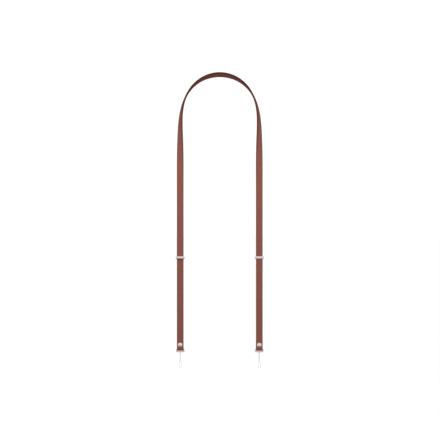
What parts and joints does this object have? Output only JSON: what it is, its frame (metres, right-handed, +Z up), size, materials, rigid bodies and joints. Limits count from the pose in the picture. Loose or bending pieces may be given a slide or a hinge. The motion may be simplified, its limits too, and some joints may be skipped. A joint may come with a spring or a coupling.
{
  "type": "crossbody strap",
  "caption": "Crossbody strap of overlapping woven bands held by metal sliders, each end folded round a metal ring, closed by a domed stud and hung with a thin cord loop.",
  "frame": {"origin": "centre of the arch's underside at its top, where the strap lies on a shoulder or hangs on a peg", "axes": "+Z up, along the hanging legs; -Y to the front, the face that shows; X from the left leg to the right leg"},
  "size_m": [0.1522, 0.0118, 0.5088],
  "materials": {
    "woven_band": "matte, tightly woven yarn",
    "slider_steel": "satin polished",
    "ring_steel": "satin polished",
    "stud_steel": "satin polished",
    "loop_cord": "smooth braided yarn"
  },
  "bodies": {
    "root": {"band_outer": "woven_band", "band_inner": "woven_band", "slider_left": "slider_steel", "slider_right": "slider_steel", "end_ring_left": "ring_steel", "end_ring_right": "ring_steel", "stud_left": "stud_steel", "stud_right": "stud_steel", "cord_loop_left": "loop_cord", "cord_loop_right": "loop_cord"}
  },
  "joints": []
}
